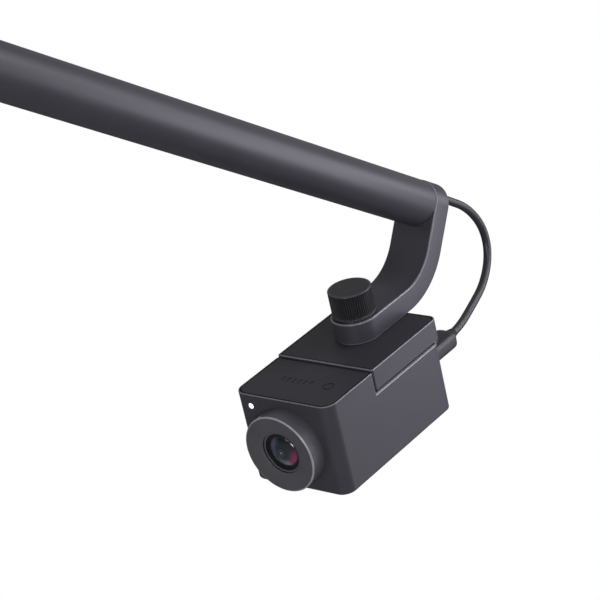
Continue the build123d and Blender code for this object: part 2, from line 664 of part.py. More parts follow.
def sweep_cable(name, points, radii):
    """Round cable along straight runs joined by tangent arcs."""
    path = FilletPolyline(*[Vector(*p) for p in points], radius=radii)
    section = Plane(origin=path @ 0, z_dir=path % 0) * Circle(CABLE_D / 2)
    solid = sweep(section, path=path)
    ideal = pi * CABLE_D**2 / 4 * path.length
    smallest = min(radii)
    print(f"{name}: length {path.length:.1f}, smallest radius {smallest:.1f}, "
          f"volume ratio {solid.volume / ideal:.4f}")
    keep(name, solid)


def cable():
    strap_face_y = -REACH - STRAP_T
    hole = (0, strap_face_y, CABLE_HOLE_UP)
    # inside the arm: up from the inlet, along the tube's floor, out through the strap
    inner = [
        (0, -20.0, -BOX_H / 2 + 18),
        (0, -20.0, -42.0),
        (0, -10.5, -28.0),
        (0, -10.5, -12.0),
        (0, -18.0, -2.5),
        (0, -45.0, -6.0),
        (0, -500.0, -5.8),
        (0, -545.0, CABLE_HOLE_UP),
        hole,
    ]
    sweep_cable("cable_inner", inner, corner_radii(inner))

    # outside: from the strap's hole round to the plug, listed in the head's frame
    strap_hole = Vector(0, inner_y, inner_z) + up_strap * CABLE_HOLE_UP - to_wall * STRAP_T
    lead_out = strap_hole - to_wall * 12.5
    loop = [
        strap_hole,
        lead_out,
        (0.4, 86.3, 17.2),
        (0.8, 94.1, 4.2),
        (1.8, 93.2, -8.4),
        (3.7, 83.2, -18.2),
        (5.8, 68.0, -22.2),
        (PORT_X, 55.4, PORT_Z),
        (PORT_X, RELIEF_Y1, PORT_Z),
    ]
    loop = [head_to_row(tuple(Vector(*p))) for p in loop]
    radii = corner_radii(loop)
    # two lengths that meet half way along the run between the fifth and sixth points
    split = 5
    meet = (loop[split - 1] + loop[split]) * 0.5
    sweep_cable("cable_loop_upper", loop[:split] + [meet], radii[: split - 1])
    sweep_cable("cable_loop_lower", [meet] + loop[split:], radii[split - 1:])

    # plug
    tongue = rounded_bar(8.3, 2.5, 1.2, REAR_Y - 6.6, PLUG_Y0, PORT_X, PORT_Z)
    tongue -= rounded_bar(7.0, 1.4, 0.6, REAR_Y - 7.6, REAR_Y - 1.6, PORT_X, PORT_Z)
    keep("plug_shell", tongue, HEAD)
    grip = rounded_bar(PLUG_W, PLUG_H, PLUG_CORNER, PLUG_Y0, PLUG_Y1, PORT_X, PORT_Z)
    grip = fillet(grip.faces().sort_by(Axis.Y)[-1].edges(), 1.0)
    grip = fillet(grip.faces().sort_by(Axis.Y)[0].edges(), 0.4)
    keep("plug_grip", grip, HEAD)
    relief = Cone(2.9, 2.3, RELIEF_Y1 - PLUG_Y1, rotation=(-90, 0, 0))
    relief = relief.moved(Location((PORT_X, (PLUG_Y1 + RELIEF_Y1) / 2, PORT_Z)))
    keep("strain_relief", relief, HEAD)


# ================================================================ build
wall_end()
arm()
knob()
mount_plate()
housing()
lens()
electronics()
cable()

os.makedirs("parts", exist_ok=True)
for name, shape in PARTS.items():
    export_step(shape, f"parts/{name}.step")
print(len(PARTS), "nodes; head origin", head_origin)
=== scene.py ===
import json
from math import atan2, copysign, cos, pi, radians, sin, sqrt

import bmesh
import bpy
from mathutils import Matrix, Vector


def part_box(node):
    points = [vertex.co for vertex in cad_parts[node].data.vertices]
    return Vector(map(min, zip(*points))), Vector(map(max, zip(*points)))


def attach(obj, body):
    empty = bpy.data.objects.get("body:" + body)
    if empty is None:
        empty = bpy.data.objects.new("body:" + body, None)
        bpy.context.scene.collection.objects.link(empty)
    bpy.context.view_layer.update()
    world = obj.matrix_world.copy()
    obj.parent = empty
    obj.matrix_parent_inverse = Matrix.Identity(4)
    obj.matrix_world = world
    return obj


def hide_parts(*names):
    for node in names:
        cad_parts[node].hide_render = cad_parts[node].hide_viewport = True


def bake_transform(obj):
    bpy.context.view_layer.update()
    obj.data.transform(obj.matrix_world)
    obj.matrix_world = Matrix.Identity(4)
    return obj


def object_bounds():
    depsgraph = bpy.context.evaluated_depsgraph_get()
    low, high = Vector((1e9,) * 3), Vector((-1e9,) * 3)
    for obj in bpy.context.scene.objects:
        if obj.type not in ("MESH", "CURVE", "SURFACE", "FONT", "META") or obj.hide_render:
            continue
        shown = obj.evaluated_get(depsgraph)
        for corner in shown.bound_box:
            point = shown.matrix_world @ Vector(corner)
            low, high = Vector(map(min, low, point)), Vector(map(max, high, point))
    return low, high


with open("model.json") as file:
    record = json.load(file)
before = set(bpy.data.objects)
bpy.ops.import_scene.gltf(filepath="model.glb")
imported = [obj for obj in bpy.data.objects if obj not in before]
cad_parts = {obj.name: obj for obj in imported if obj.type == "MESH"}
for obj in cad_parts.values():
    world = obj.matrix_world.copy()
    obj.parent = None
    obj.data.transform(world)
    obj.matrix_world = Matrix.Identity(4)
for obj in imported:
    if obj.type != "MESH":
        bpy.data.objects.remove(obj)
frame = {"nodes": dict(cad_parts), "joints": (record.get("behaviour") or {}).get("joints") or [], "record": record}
cad_low, cad_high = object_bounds()

MM = 0.001
EDGE = "edge"            # face attribute: 1 on rounded-over edges for a painted highlight, -1 deep in a seam for painted shade
scene = bpy.context.scene
nodes = frame["nodes"]
record = frame["record"]
joints = {joint["name"]: joint for joint in frame["joints"]}
body_of_node = {
    node: body for body, members in record["behaviour"]["bodies"].items() for node in members
}
slot_of_node = {part["node"]: part["material_slot"] for part in record["subparts"]}

# ---------------------------------------------------------------- the head's own frame
# X to the head's left, Y to its rear, Z out of its mounting plate along the knob's axis.
head_origin = Vector(joints["head_pan"]["pos_m"])
head_z = Vector(joints["head_pan"]["axis"]).normalized()
head_x = Vector((-1, 0, 0))
head_y = head_z.cross(head_x)
HEAD = Matrix.Translation(head_origin) @ Matrix((head_x, head_y, head_z)).transposed().to_4x4()
TO_HEAD = HEAD.inverted()


def head_point(x, y, z):
    """A point given in the head's frame, in metres, where it is in the whole object's frame."""
    return HEAD @ Vector((x, y, z))


def head_box(node):
    """A CAD node's lowest and highest corners in the head's frame."""
    points = [TO_HEAD @ vertex.co for vertex in nodes[node].data.vertices]
    low = Vector([min(point[i] for point in points) for i in range(3)])
    high = Vector([max(point[i] for point in points) for i in range(3)])
    return low, high


# ---------------------------------------------------------------- camera
def make_camera():
    """Ahead of the head, to its left and a little above its lens, with a long lens."""
    place = head_point(0.54324, -0.60778, 0.39669)
    forward = HEAD.to_3x3() @ Vector((-0.62216, 0.6617, -0.41842))
    up = HEAD.to_3x3() @ Vector((-0.11249, 0.45336, 0.8842))
    right = forward.cross(up).normalized()
    up = right.cross(forward).normalized()
    data = bpy.data.cameras.new("camera")
    data.sensor_width = 36.0
    data.lens = 132.0
    data.clip_start, data.clip_end = 0.01, 50.0
    camera = bpy.data.objects.new("camera", data)
    turn = Matrix((right, up, -forward)).transposed().to_4x4()
    camera.matrix_world = Matrix.Translation(place) @ turn
    scene.collection.objects.link(camera)
    scene.camera = camera


# ---------------------------------------------------------------- materials
materials = {}


class Finish:
    """A node material under construction, with its Principled shader and object coordinates."""

    def __init__(self, slot):
        self.material = bpy.data.materials.new(slot)
        self.material.use_nodes = True
        self.tree = self.material.node_tree
        self.shader = self.tree.nodes["Principled BSDF"]
        self.where = self.tree.nodes.new("ShaderNodeTexCoord").outputs["Object"]
        materials[slot] = self.material

    def link(self, output, target):
        self.tree.links.new(output, target)

    def noise(self, pitch_mm, detail=2.0):
        """Noise whose lumps are about pitch_mm across."""
        node = self.tree.nodes.new("ShaderNodeTexNoise")
        node.inputs["Scale"].default_value = 1.0 / (pitch_mm * MM)
        node.inputs["Detail"].default_value = detail
        self.link(self.where, node.inputs["Vector"])
        return node.outputs["Fac"]

    def math(self, operation, first, second=None, third=None):
        node = self.tree.nodes.new("ShaderNodeMath")
        node.operation = operation
        for socket, value in zip(node.inputs, (first, second, third)):
            if value is None:
                continue
            if isinstance(value, (int, float)):
                socket.default_value = value
            else:
                self.link(value, socket)
        return node.outputs[0]

    def ramp(self, value, stops):
        """A colour for each value: stops are (place from 0 to 1, colour)."""
        node = self.tree.nodes.new("ShaderNodeValToRGB")
        elements = node.color_ramp.elements
        while len(elements) < len(stops):
            elements.new(0.5)
        for element, (place, colour) in zip(elements, stops):
            element.position = place
            element.color = (*colour, 1)
        self.link(value, node.inputs["Fac"])
        return node.outputs["Color"]

    def between(self, value, low, high):
        """The value, from 0 to 1, spread from low to high."""
        node = self.tree.nodes.new("ShaderNodeMapRange")
        node.inputs["To Min"].default_value = low
        node.inputs["To Max"].default_value = high
        self.link(value, node.inputs["Value"])
        return node.outputs["Result"]

    def bump(self, height, distance_mm):
        """Raises the surface by distance_mm where height is 1."""
        node = self.tree.nodes.new("ShaderNodeBump")
        node.inputs["Distance"].default_value = distance_mm * MM
        self.link(height, node.inputs["Height"])
        self.link(node.outputs["Normal"], self.shader.inputs["Normal"])

    def set(self, **values):
        for name, value in values.items():
            self.shader.inputs[name.replace("_", " ")].default_value = value


SEAM_SHADE = 0.08        # how much of its colour a face deep in a seam keeps under the painted shade


def surface(slot, colour, roughness, grain=0.006, pitch=0.30, speckle=0.0, mottle=0.10, uneven=0.05,
            metallic=0.0, specular=0.5, painted_light_strength=0.0, polish=0.0):
    """Painted, moulded or machined surface: fine grain, a coarser speckle and uneven gloss.

    grain and speckle are bump heights and pitch the grain's size, in millimetres. On faces
    marked as edges, painted_light_strength is how much lighter the colour gets, a painted
    highlight, and polish how much smoother. On faces marked as seams the colour gets darker,
    a painted shade, and rougher instead."""
    finish = Finish(slot)
    fine = finish.noise(pitch)
    coarse = finish.noise(3.0 * pitch, 1.0)
    broad = finish.noise(16.0, 3.0)
    tone = finish.math("MULTIPLY_ADD", coarse, 0.45, finish.math("MULTIPLY", broad, 0.55))
    darker = [channel * (1 - mottle) for channel in colour]
    lighter = [channel * (1 + mottle) for channel in colour]
    colours = finish.ramp(tone, ((0.3, darker), (0.7, lighter)))
    gloss = finish.between(tone, roughness - uneven, roughness + uneven)
    if painted_light_strength or polish:
        # marked edges get a lighter colour, a painted highlight, and marked seams a darker one, a painted shade
        edge = finish.tree.nodes.new("ShaderNodeAttribute")
        edge.attribute_name = EDGE
        painted_light_marks = finish.math("MULTIPLY", edge.outputs["Fac"], finish.between(coarse, 0.9, 1.1))
        gloss = finish.math("MULTIPLY_ADD", painted_light_marks, -polish, gloss)
        lighten = finish.tree.nodes.new("ShaderNodeVectorMath")
        lighten.operation = "SCALE"
        finish.link(colours, lighten.inputs[0])
        share = finish.math("MAXIMUM", finish.math("MULTIPLY_ADD", painted_light_marks, painted_light_strength, 1.0), SEAM_SHADE)
        finish.link(share, lighten.inputs["Scale"])
        colours = lighten.outputs[0]
    finish.link(colours, finish.shader.inputs["Base Color"])
    finish.link(gloss, finish.shader.inputs["Roughness"])
    height = finish.math("MULTIPLY_ADD", coarse, speckle / grain, fine)
    if painted_light_strength or polish:
        height = finish.math("MULTIPLY", height, finish.math("MULTIPLY_ADD", painted_light_marks, -0.75, 1.0))
    finish.bump(height, grain)
    finish.set(Metallic=metallic, Specular_IOR_Level=specular)
    return finish


def bare_metal(slot, colour, roughness):
    """Bare metal with a very fine grain."""
    surface(slot, colour, roughness, grain=0.002, pitch=0.15, mottle=0.06, metallic=1.0)


def make_paints():
    # rounded edges get a painted highlight and polish, seams a painted shade
    painted_light_marks = {"painted_light_strength": 3.2, "polish": 0.20}
    surface("arm_paint", (0.047, 0.046, 0.054), 0.42, grain=0.004, speckle=0.004, **painted_light_marks)
    surface("strap_paint", (0.044, 0.043, 0.051), 0.41, grain=0.006, pitch=0.34, speckle=0.010, **painted_light_marks)
    surface("housing_paint", (0.047, 0.046, 0.054), 0.40, grain=0.005, pitch=0.32, speckle=0.005, **painted_light_marks)
    surface("ring_paint", (0.086, 0.086, 0.093), 0.40, grain=0.006, pitch=0.34, speckle=0.008, **painted_light_marks)
    surface("steel_plate", (0.055, 0.055, 0.060), 0.50, grain=0.010, pitch=0.40, speckle=0.010)
    surface("barrel_black", (0.008, 0.008, 0.009), 0.36, grain=0.003)


def make_plastics():
    # rounded edges get a painted highlight and polish, seams a painted shade
    painted_light_marks = {"painted_light_strength": 1.2, "polish": 0.14}
    surface("cover_plastic", (0.034, 0.034, 0.038), 0.56, grain=0.006, pitch=0.24, speckle=0.004, **painted_light_marks)
    surface("knob_plastic", (0.027, 0.026, 0.029), 0.44, grain=0.003, pitch=0.26, speckle=0.002, **painted_light_marks)
    surface("black_plastic", (0.016, 0.016, 0.017), 0.50, grain=0.006)
    surface("plug_plastic", (0.033, 0.033, 0.036), 0.42, grain=0.005, speckle=0.003)
    surface("chip_black", (0.020, 0.020, 0.020), 0.45, grain=0.004)
    surface("cable_jacket", (0.030, 0.030, 0.033), 0.38, grain=0.003, pitch=0.5, speckle=0.004)
    surface("soft_rubber", (0.020, 0.020, 0.021), 0.70, grain=0.010, pitch=0.35, speckle=0.006)


def make_metals():
    bare_metal("steel", (0.55, 0.55, 0.57), 0.28)
    bare_metal("bare_aluminium", (0.60, 0.61, 0.63), 0.34)
    bare_metal("brass", (0.72, 0.55, 0.26), 0.30)
    surface("black_steel", (0.040, 0.040, 0.044), 0.36, grain=0.003, metallic=0.8)


def make_board():
    """Green solder mask over copper runs a little over a millimetre apart."""
    finish = surface("circuit_board", (0.02, 0.10, 0.05), 0.30, grain=0.010, pitch=0.8, speckle=0.010)
    finish.set(Coat_Weight=0.3)


def make_light():
    """Diffusing plastic, lit white from behind."""
    finish = surface("status_light", (0.90, 0.92, 0.95), 0.40, grain=0.002, mottle=0.02)
    finish.set(Emission_Color=(0.93, 0.96, 1.0, 1), Emission_Strength=2.0)


def make_glass():
    """Coated front element: dark, with painted reflections of the coating's colours in crescents
    towards its rim and a painted highlight at its middle.

    The painted reflection depends on the place on the element: the distance from its middle, and the
    direction round it, counted from the head's left through the top."""
    low, high = head_box("front_lens")
    radius = (high.x - low.x) / 2
    finish = Finish("lens_glass")
    tree = finish.tree

    def along(direction):
        minus = tree.nodes.new("ShaderNodeVectorMath")
        minus.operation = "SUBTRACT"
        minus.inputs[1].default_value = HEAD @ ((low + high) / 2)
        finish.link(finish.where, minus.inputs[0])
        dot = tree.nodes.new("ShaderNodeVectorMath")
        dot.operation = "DOT_PRODUCT"
        dot.inputs[1].default_value = direction / radius
        finish.link(minus.outputs[0], dot.inputs[0])
        return dot.outputs["Value"]

    across, up = along(head_x), along(head_z)
    squares = finish.math("MULTIPLY_ADD", up, up, finish.math("MULTIPLY", across, across))
    out = finish.math("SQRT", squares)
    turn = finish.math("MULTIPLY_ADD", finish.math("ARCTAN2", up, across), 0.5 / pi, 0.5)
    black, violet, blue = (0.004, 0.005, 0.007), (0.130, 0.105, 0.190), (0.150, 0.180, 0.250)
    pale, magenta, green = (0.300, 0.270, 0.330), (0.240, 0.020, 0.090), (0.008, 0.024, 0.026)
    # turn is 0 and 1 at the head's right, 0.25 at the bottom, 0.5 at its left and 0.75 at the top
    # painted reflections round the rim, by the direction from the middle
    rim_reflections = finish.ramp(turn, (
        (0.00, blue), (0.10, blue), (0.20, pale), (0.29, pale), (0.36, magenta), (0.46, magenta),
        (0.56, black), (0.78, black), (0.90, violet), (1.00, blue),
    ))
    # a painted highlight at the middle, a painted reflection ring round it, and dark green further out
    core_reflections = finish.ramp(out, (
        (0.00, (0.55, 0.42, 0.36)), (0.055, (0.45, 0.30, 0.24)), (0.085, (0.020, 0.018, 0.015)),
        (0.15, black), (0.19, (0.035, 0.085, 0.080)), (0.225, (0.030, 0.070, 0.065)), (0.26, black),
        (0.42, green), (0.60, green),
    ))
    mix = tree.nodes.new("ShaderNodeMix")
    mix.data_type = "RGBA"
    edge = tree.nodes.new("ShaderNodeMapRange")
    edge.interpolation_type = "SMOOTHSTEP"
    edge.inputs["From Min"].default_value = 0.42
    edge.inputs["From Max"].default_value = 0.88
    finish.link(out, edge.inputs["Value"])
    finish.link(edge.outputs["Result"], mix.inputs["Factor"])
    finish.link(core_reflections, mix.inputs["A"])
    finish.link(rim_reflections, mix.inputs["B"])
    finish.link(mix.outputs["Result"], finish.shader.inputs["Base Color"])
    finish.set(Roughness=0.10, Coat_Weight=1.0, Coat_Roughness=0.02, Specular_IOR_Level=0.6)


def make_materials():
    make_paints()
    make_plastics()
    make_metals()
    make_board()
    make_light()
    make_glass()
    for node, made in nodes.items():
        for holder in made.material_slots:
            holder.material = materials[slot_of_node[node]]


# ---------------------------------------------------------------- making pieces
def piece(name, mesh, *replaced, ride=True):
    """Shows a mesh in place of CAD nodes, with the first one's body and material slot."""
    first = replaced[0]
    made = bpy.data.objects.new(name, mesh)
    scene.collection.objects.link(made)
    mesh.materials.append(materials[slot_of_node[first]])
    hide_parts(*replaced)
    if ride:
        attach(made, body_of_node[first])
    return made


def finished(bm, name, sharp_deg=35.0):
    """The bmesh as a mesh with outward normals, smooth but for edges past sharp_deg."""
    bmesh.ops.recalc_face_normals(bm, faces=bm.faces)
    for face in bm.faces:
        face.smooth = True
    mesh = bpy.data.meshes.new(name)
    bm.to_mesh(mesh)
    bm.free()
    mesh.set_sharp_from_angle(angle=radians(sharp_deg))
    return mesh


def skin_rings(rings, joined=False, painted_light_marks=(), shaded=()):
    """Faces between rings of points; joined closes the last ring to the first, else both are capped.

    The strips that start at the rings numbered in the first list are marked as edges, for a painted
    highlight, and in shaded as seams, for painted shade."""
    bm = bmesh.new()
    edge = bm.faces.layers.float.new(EDGE)
    rows = [[bm.verts.new(point) for point in ring] for ring in rings]
    pairs = list(zip(rows, rows[1:]))
    if joined:
        pairs.append((rows[-1], rows[0]))
    else:
        bm.faces.new(rows[0])
        bm.faces.new(rows[-1])
    for number, (first, second) in enumerate(pairs):
        for i in range(len(first)):
            j = (i + 1) % len(first)
            face = bm.faces.new((first[i], first[j], second[j], second[i]))
            face[edge] = float(number in painted_light_marks) - float(number in shaded)
    return bm


def round_arc(centre_r, centre_along, radius, start_deg, end_deg, steps=5):
    """Points of a rounded corner, as (radius, along) pairs."""
    angles = [radians(start_deg + (end_deg - start_deg) * i / steps) for i in range(steps + 1)]
    return [(centre_r + radius * cos(a), centre_along + radius * sin(a)) for a in angles]


def turned(profile, origin, axis, across, segments=128, joined=False, painted_light_marks=(), shaded=()):
    """Turns (radius, along) pairs about an axis of the head's frame."""
    third = axis.cross(across)
    rings = []
    for radius, along in profile:
        angles = [2 * pi * i / segments for i in range(segments)]
        rings.append([
            HEAD @ (origin + axis * along + (across * cos(a) + third * sin(a)) * radius) for a in angles
        ])
    return skin_rings(rings, joined, painted_light_marks, shaded)


SHARP_DEG = 42.0         # edges sharper than this are rounded over
EDGES_MM = {             # how wide each piece's edges are rounded
    "housing": 0.30, "mount_plate": 0.10, "plate_skin": 0.05, "front_cover": 0.05,
    "rear_panel": 0.20, "arm_socket": 0.5, "wall_plate": 0.5, "knob_washer": 0.10,
    "cable_grommet": 0.25, "strap_screw": 0.15, "socket_bolts": 0.3,
    "rear_panel_screws": 0.10, "cover_screws": 0.15, "inlet_socket": 0.15,
}
# which pieces have a rim, lit with a painted highlight, or a seam, darkened with painted shade, and where, in the
# head's frame and in millimetres
RIMMED = ("housing", "mount_plate", "plate_skin", "front_cover")
RIM_LOW_Z = -1.3
NOTCH_LOW_Z, NOTCH_TOP_Z = -10.3, -3.0
PLATE_LOW_Z = -8.9
PLATE_MIDDLE_Y, COVER_MIDDLE_Y = -1.3, -40.0
FLAT_RIM = 0.25          # how much painted highlight a rim's flat top gets


def broken_edges(node, width_mm):
    """A piece in the shape of a CAD node, with its sharp edges rounded over."""
    bm = bmesh.new()
    bm.from_mesh(nodes[node].data)
    bmesh.ops.remove_doubles(bm, verts=bm.verts, dist=0.004 * MM)
    name = node + "_finished"
    made = piece(name, finished(bm, name, 180.0), node)
    made.data.materials.append(made.data.materials[0])
    bevel = made.modifiers.new("edges", "BEVEL")
    bevel.material = 1
    bevel.width = width_mm * MM
    bevel.segments = 3
    bevel.limit_method = "ANGLE"
    bevel.angle_limit = radians(SHARP_DEG)
    bevel.use_clamp_overlap = False
    bevel.harden_normals = False
    bevel.loop_slide = False
    weighted = made.modifiers.new("normals", "WEIGHTED_NORMAL")
    weighted.weight = 90
    depsgraph = bpy.context.evaluated_depsgraph_get()
    mesh = bpy.data.meshes.new_from_object(made.evaluated_get(depsgraph))
    made.modifiers.clear()
    made.data = mesh
    # rounded edges and rims get a painted highlight, the walls of seams painted shade
    mark_faces(mesh, lambda face: seam_or_rim(node, face, face.material_index == 1))
    for face in mesh.polygons:
        face.material_index = 0
    mesh.materials.pop(index=1)
    return made


def seam_or_rim(node, face, rounded):
    """1 on a rounded edge, part of that on a rim's narrow flat top, for a painted highlight, and -1 on the walls
    of a seam, for painted shade.
    """
    if node not in RIMMED:
        return 1.0 if rounded else 0.0
    place = (TO_HEAD @ face.center) / MM
    normal = TO_HEAD.to_3x3() @ face.normal
    if node == "housing" and NOTCH_LOW_Z < place.z < NOTCH_TOP_Z and max(normal.y, normal.z) > 0.8:
        return -1.0
    if node == "mount_plate" and place.z < PLATE_LOW_Z and (rounded or normal.z < -0.1):
        return -1.0
    if node in ("plate_skin", "front_cover"):
        return -1.0 if abs(normal.z) < 0.9 else 0.0
    middle_y = PLATE_MIDDLE_Y if node == "mount_plate" else COVER_MIDDLE_Y
    inward = place.x * normal.x + (place.y - middle_y) * normal.y < 0
    if place.z > RIM_LOW_Z and normal.z < 0.985 and inward:
        return -1.0
    if rounded or (place.z > RIM_LOW_Z and 0.08 < normal.z < 0.985):
        return 1.0
    return FLAT_RIM if place.z > RIM_LOW_Z and normal.z > 0.08 else 0.0


def mark_faces(mesh, mark):
    """Writes on every face its mark: painted highlight above 0, painted shade below it."""
    marks = mesh.attributes.get(EDGE) or mesh.attributes.new(EDGE, "FLOAT", "FACE")
    for face in mesh.polygons:
        marks.data[face.index].value = mark(face)


# a turned part of the head lies along its Y, and its first point is towards its X
AXIS_Y, ACROSS = Vector((0, 1, 0)), Vector((1, 0, 0))


# ---------------------------------------------------------------- cords
CABLE_R = 1.8 * MM


def route_line(points):
    """The smooth line of a route: the NURBS curve with its points as control points."""
    curve = bpy.data.curves.new("route", "CURVE")
    curve.dimensions = "3D"
    curve.resolution_u = 16
    spline = curve.splines.new("NURBS")
    spline.points.add(len(points) - 1)
    for place, point in zip(spline.points, points):
        place.co = (*point, 1.0)
    spline.order_u = 3
    spline.use_endpoint_u = True
    holder = bpy.data.objects.new("route", curve)
    scene.collection.objects.link(holder)
    bpy.context.view_layer.update()
    mesh = bpy.data.meshes.new_from_object(holder)
    line = [vertex.co.copy() for vertex in mesh.vertices]
    bpy.data.objects.remove(holder)
    return line


def tube_along(line, radius, sides=32):
    """Round tube that follows a line, its section carried along without twist."""
    side = head_x
    rings = []
    for i, point in enumerate(line):
        ahead = (line[min(i + 1, len(line) - 1)] - line[max(i - 1, 0)]).normalized()
        side = (side - ahead * side.dot(ahead)).normalized()
        third = ahead.cross(side)
        angles = [2 * pi * k / sides for k in range(sides)]
        rings.append([point + (side * cos(a) + third * sin(a)) * radius for a in angles])
    return skin_rings(rings)


def make_cable_loop():
    """The cable from the strap's hole round to the plug, in two lengths that meet half way round."""
    route = [
        (0.0, 0.064201, 0.033470),
        (0.0, 0.074377, 0.026211),
        (0.0004, 0.0863, 0.0172),
        (0.0008, 0.0941, 0.0042),
        (0.0018, 0.0932, -0.0084),
        (0.0037, 0.0832, -0.0182),
        (0.0058, 0.0680, -0.0222),
        (0.0085, 0.0552, -0.0238),
        (0.0085, 0.0496, -0.0242),
    ]
    line = route_line([head_point(*point) for point in route])
    meet = (head_point(*route[4]) + head_point(*route[5])) / 2
    split = min(range(len(line)), key=lambda i: (line[i] - meet).length)
    upper, lower = line[:split + 1], line[split:]
    first = piece("cable_from_strap", finished(tube_along(upper, CABLE_R), "cable"), "cable_loop_upper",
                  ride=False)
    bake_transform(first)
    second = piece("cable_to_plug", finished(tube_along(lower, CABLE_R), "cable"), "cable_loop_lower",
                   ride=False)
    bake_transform(second)
    return (first, upper), (second, lower)


def make_plug():
    """The plug's grip, a soft box with a rounded shoulder, and its ribbed strain relief."""
    low, high = head_box("plug_grip")
    middle = (low + high) / 2
    half_w, half_h = (high.x - low.x) / 2, (high.z - low.z) / 2
    length = high.y - low.y
    corner_power = 0.52
    stations = (
        (0.0, 0.93), (0.012, 0.98), (0.03, 1.0), (0.35, 1.0), (0.70, 1.0), (0.90, 0.998), (0.94, 0.985),
        (0.97, 0.95), (0.988, 0.90), (1.0, 0.82),
    )
    rings = []
    for share, scale in stations:
        ring = []
        for i in range(64):
            angle = 2 * pi * i / 64
            c, s = cos(angle), sin(angle)
            x = copysign(abs(c) ** corner_power, c) * half_w * scale
            z = copysign(abs(s) ** corner_power, s) * half_h * scale
            ring.append(head_point(middle.x + x, low.y + share * length, middle.z + z))
        rings.append(ring)
    grip = piece("plug_grip_moulded", finished(skin_rings(rings), "plug_grip"), "plug_grip")

    low, high = head_box("strain_relief")
    length = high.y - low.y
    root, tip = (high.x - low.x) / 2, CABLE_R + 0.25 * MM
    profile = [(0.4 * root, 0.0), (0.96 * root, 0.0), (root, 0.04 * length)]
    ribs, groove = 3, 0.16 * MM
    for i in range(ribs):
        for share, cut in ((0.0, 0.0), (0.35, 0.0), (0.5, 1.0), (0.8, 1.0), (1.0, 0.0)):
            along = 0.10 + 0.72 * (i + share) / ribs
            profile.append((root + (tip - root) * along - groove * cut, along * length))
    profile += [(tip, 0.9 * length), (tip - 0.05 * MM, length), (0.4 * root, length)]
    centre = Vector(((low.x + high.x) / 2, low.y, (low.z + high.z) / 2))
    relief = piece(
        "strain_relief_ribbed", finished(turned(profile, centre, AXIS_Y, ACROSS, 64), "relief"),
        "strain_relief",
    )
    return grip, relief


# ---------------------------------------------------------------- arm
def make_arm_tube():
    """The drawn tube, with its bore and softly broken ends."""
    low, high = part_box("arm_tube")
    wall, edge = 1.7 * MM, 0.35 * MM
    outer = (high.x - low.x) / 2
    inner = outer - wall
    length = high.y - low.y
    profile = [(inner, 0.0)] + round_arc(outer - edge, edge, edge, -90, 0)
    profile += [(outer, length * i / 8) for i in range(1, 8)]
    profile += round_arc(outer - edge, length - edge, edge, 0, 90) + [(inner, length)]
    rings = []
    for radius, along in profile:
        angles = [2 * pi * i / 160 for i in range(160)]
        middle = Vector(((low.x + high.x) / 2, low.y + along, (low.z + high.z) / 2))
        rings.append([middle + Vector((cos(a), 0, sin(a))) * radius for a in angles])
    bm = skin_rings(rings, joined=True)
    return piece("arm_tube_drawn", finished(bm, "arm_tube"), "arm_tube")


def make_strap():
    """The bent bar in its CAD shape, with its rounded edges marked for a painted highlight.

    A face of a rounded edge slants between the bar's broad faces and its sides."""
    bend_y, bend_z, bend = 23.2 * MM, 33.85 * MM, radians(54.5)
    bm = bmesh.new()
    bm.from_mesh(nodes["strap"].data)
    bmesh.ops.remove_doubles(bm, verts=bm.verts, dist=0.004 * MM)
    mesh = finished(bm, "strap", 30.0)
    strap = piece("strap_finished", mesh, "strap")

    def slants(face):
        place = TO_HEAD @ face.center
        turn = min(bend, max(0.0, atan2(place.y - bend_y, bend_z - place.z)))
        broad = Vector((0, -sin(turn), cos(turn)))
        share = abs((TO_HEAD.to_3x3() @ face.normal).dot(broad))
        return 0.08 < share < 0.985

    # the slanting faces of the rounded edges get a painted highlight
    mark_faces(mesh, lambda face: 1.0 if slants(face) else 0.0)
    return strap


# ---------------------------------------------------------------- knob
KNOB_RIBS = 60
STEPS_PER_RIB = 6
GROOVE_SHADE = -0.7      # how far the grooves are marked as seams, for painted shade in them


def make_knob():
    """Clamp knob: fine ribs between plain rims, a flat top with a turned edge, and a hollow foot."""
    low, high = head_box("knob")
    radius, height = (high.x - low.x) / 2, high.z - low.z
    rim, rib_depth = 0.35 * MM, 0.40 * MM
    fade = 0.5 * MM
    profile = [(0.32 * radius, 0.0), (radius - 1.4 * MM, 0.0)]
    profile += round_arc(radius - rim, rim, rim, -90, 0, 4)
    profile += [(radius, rim + fade * i / 3) for i in (1, 2, 3)]
    profile += [(radius, height * i / 6) for i in range(1, 6)]
    profile += [(radius, height - rim - fade * i / 3) for i in (3, 2, 1)]
    profile += round_arc(radius - rim, height - rim, rim, 0, 90, 4)
    profile += [(radius - 0.9 * MM, height), (0.5 * radius, height), (0.05 * radius, height)]
    hollow = (0.0, 0.55, 1.0, 1.0, 0.55, 0.0)
    count = KNOB_RIBS * STEPS_PER_RIB
    rings = []
    for r, along in profile:
        inside = min(along, height - along) - rim
        share = min(1.0, max(0.0, inside / fade))
        ring = []
        for i in range(count):
            angle = 2 * pi * i / count
            deep = rib_depth * share * hollow[i % STEPS_PER_RIB] if r >= radius - 1e-6 else 0.0
            ring.append(head_point((r - deep) * cos(angle), (r - deep) * sin(angle), low.z + along))
        rings.append(ring)
    # the top's turned edge gets a painted highlight, and below, the grooves between the ribs painted shade
    top_rim = range(len(profile) - 8, len(profile) - 3)
    mesh = finished(skin_rings(rings, painted_light_marks=top_rim), "knob", 40.0)
    marks = mesh.attributes[EDGE]
    for face in mesh.polygons:
        place = TO_HEAD @ face.center
        upright = abs((TO_HEAD.to_3x3() @ face.normal).z) < 0.3
        if upright and radius / 2 < Vector((place.x, place.y)).length < radius - 0.25 * MM:
            marks.data[face.index].value = GROOVE_SHADE
    return piece("knob_ribbed", mesh, "knob")


